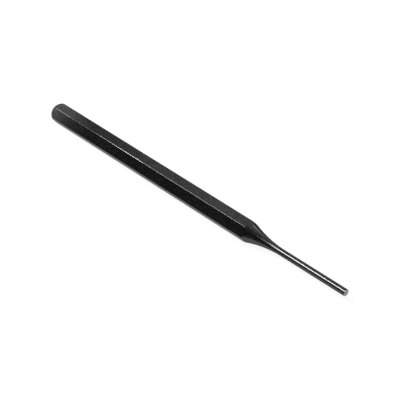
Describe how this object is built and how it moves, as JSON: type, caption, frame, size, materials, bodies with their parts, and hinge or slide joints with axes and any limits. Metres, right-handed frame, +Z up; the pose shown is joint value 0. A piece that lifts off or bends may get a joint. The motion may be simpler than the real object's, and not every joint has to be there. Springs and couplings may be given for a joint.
{
  "type": "pin punch",
  "caption": "One-piece blackened steel pin punch: hexagon shank with a crowned struck head, a long concave taper and a slender round pin for driving out pins.",
  "frame": {"origin": "on the flat that the punch lies on, halfway along its length, under its axis", "axes": "+X along the punch towards the tip of the pin, +Z up out of the top flat"},
  "size_m": [0.2, 0.0114, 0.01],
  "materials": {
    "black_oxide_steel": "satin black oxide over drawn and turned steel, worn a little brighter on the edges and the tip"
  },
  "bodies": {
    "root": {"punch": "black_oxide_steel"}
  },
  "joints": []
}
